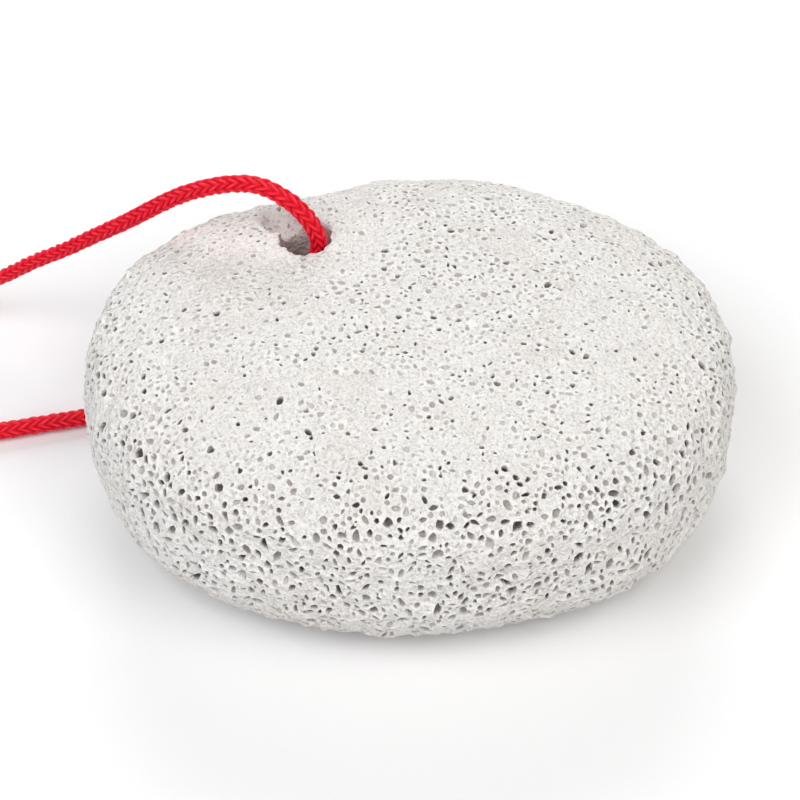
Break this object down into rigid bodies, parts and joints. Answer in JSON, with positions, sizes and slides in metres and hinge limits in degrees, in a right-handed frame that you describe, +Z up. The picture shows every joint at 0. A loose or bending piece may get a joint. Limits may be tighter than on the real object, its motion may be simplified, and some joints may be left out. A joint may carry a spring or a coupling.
{
  "type": "pumice stone",
  "caption": "Oval pumice foot stone with a drilled hole and a red braided hanging cord tied in a loop. Its rough pores rub hard skin away.",
  "frame": {"origin": "the surface the stone rests on, below the middle of the stone's bounding box", "axes": "+X along the stone's length and away from the cord's loop, +Y across it towards the side with the drilled hole, +Z up"},
  "size_m": [0.1687, 0.0774, 0.0436],
  "materials": {
    "pumice": "rough, full of open pores, matte off-white",
    "cord": "round braid of soft red yarn, slight sheen"
  },
  "bodies": {
    "root": {"pumice_stone": "pumice", "cord": "cord", "knot": "cord"}
  },
  "joints": []
}
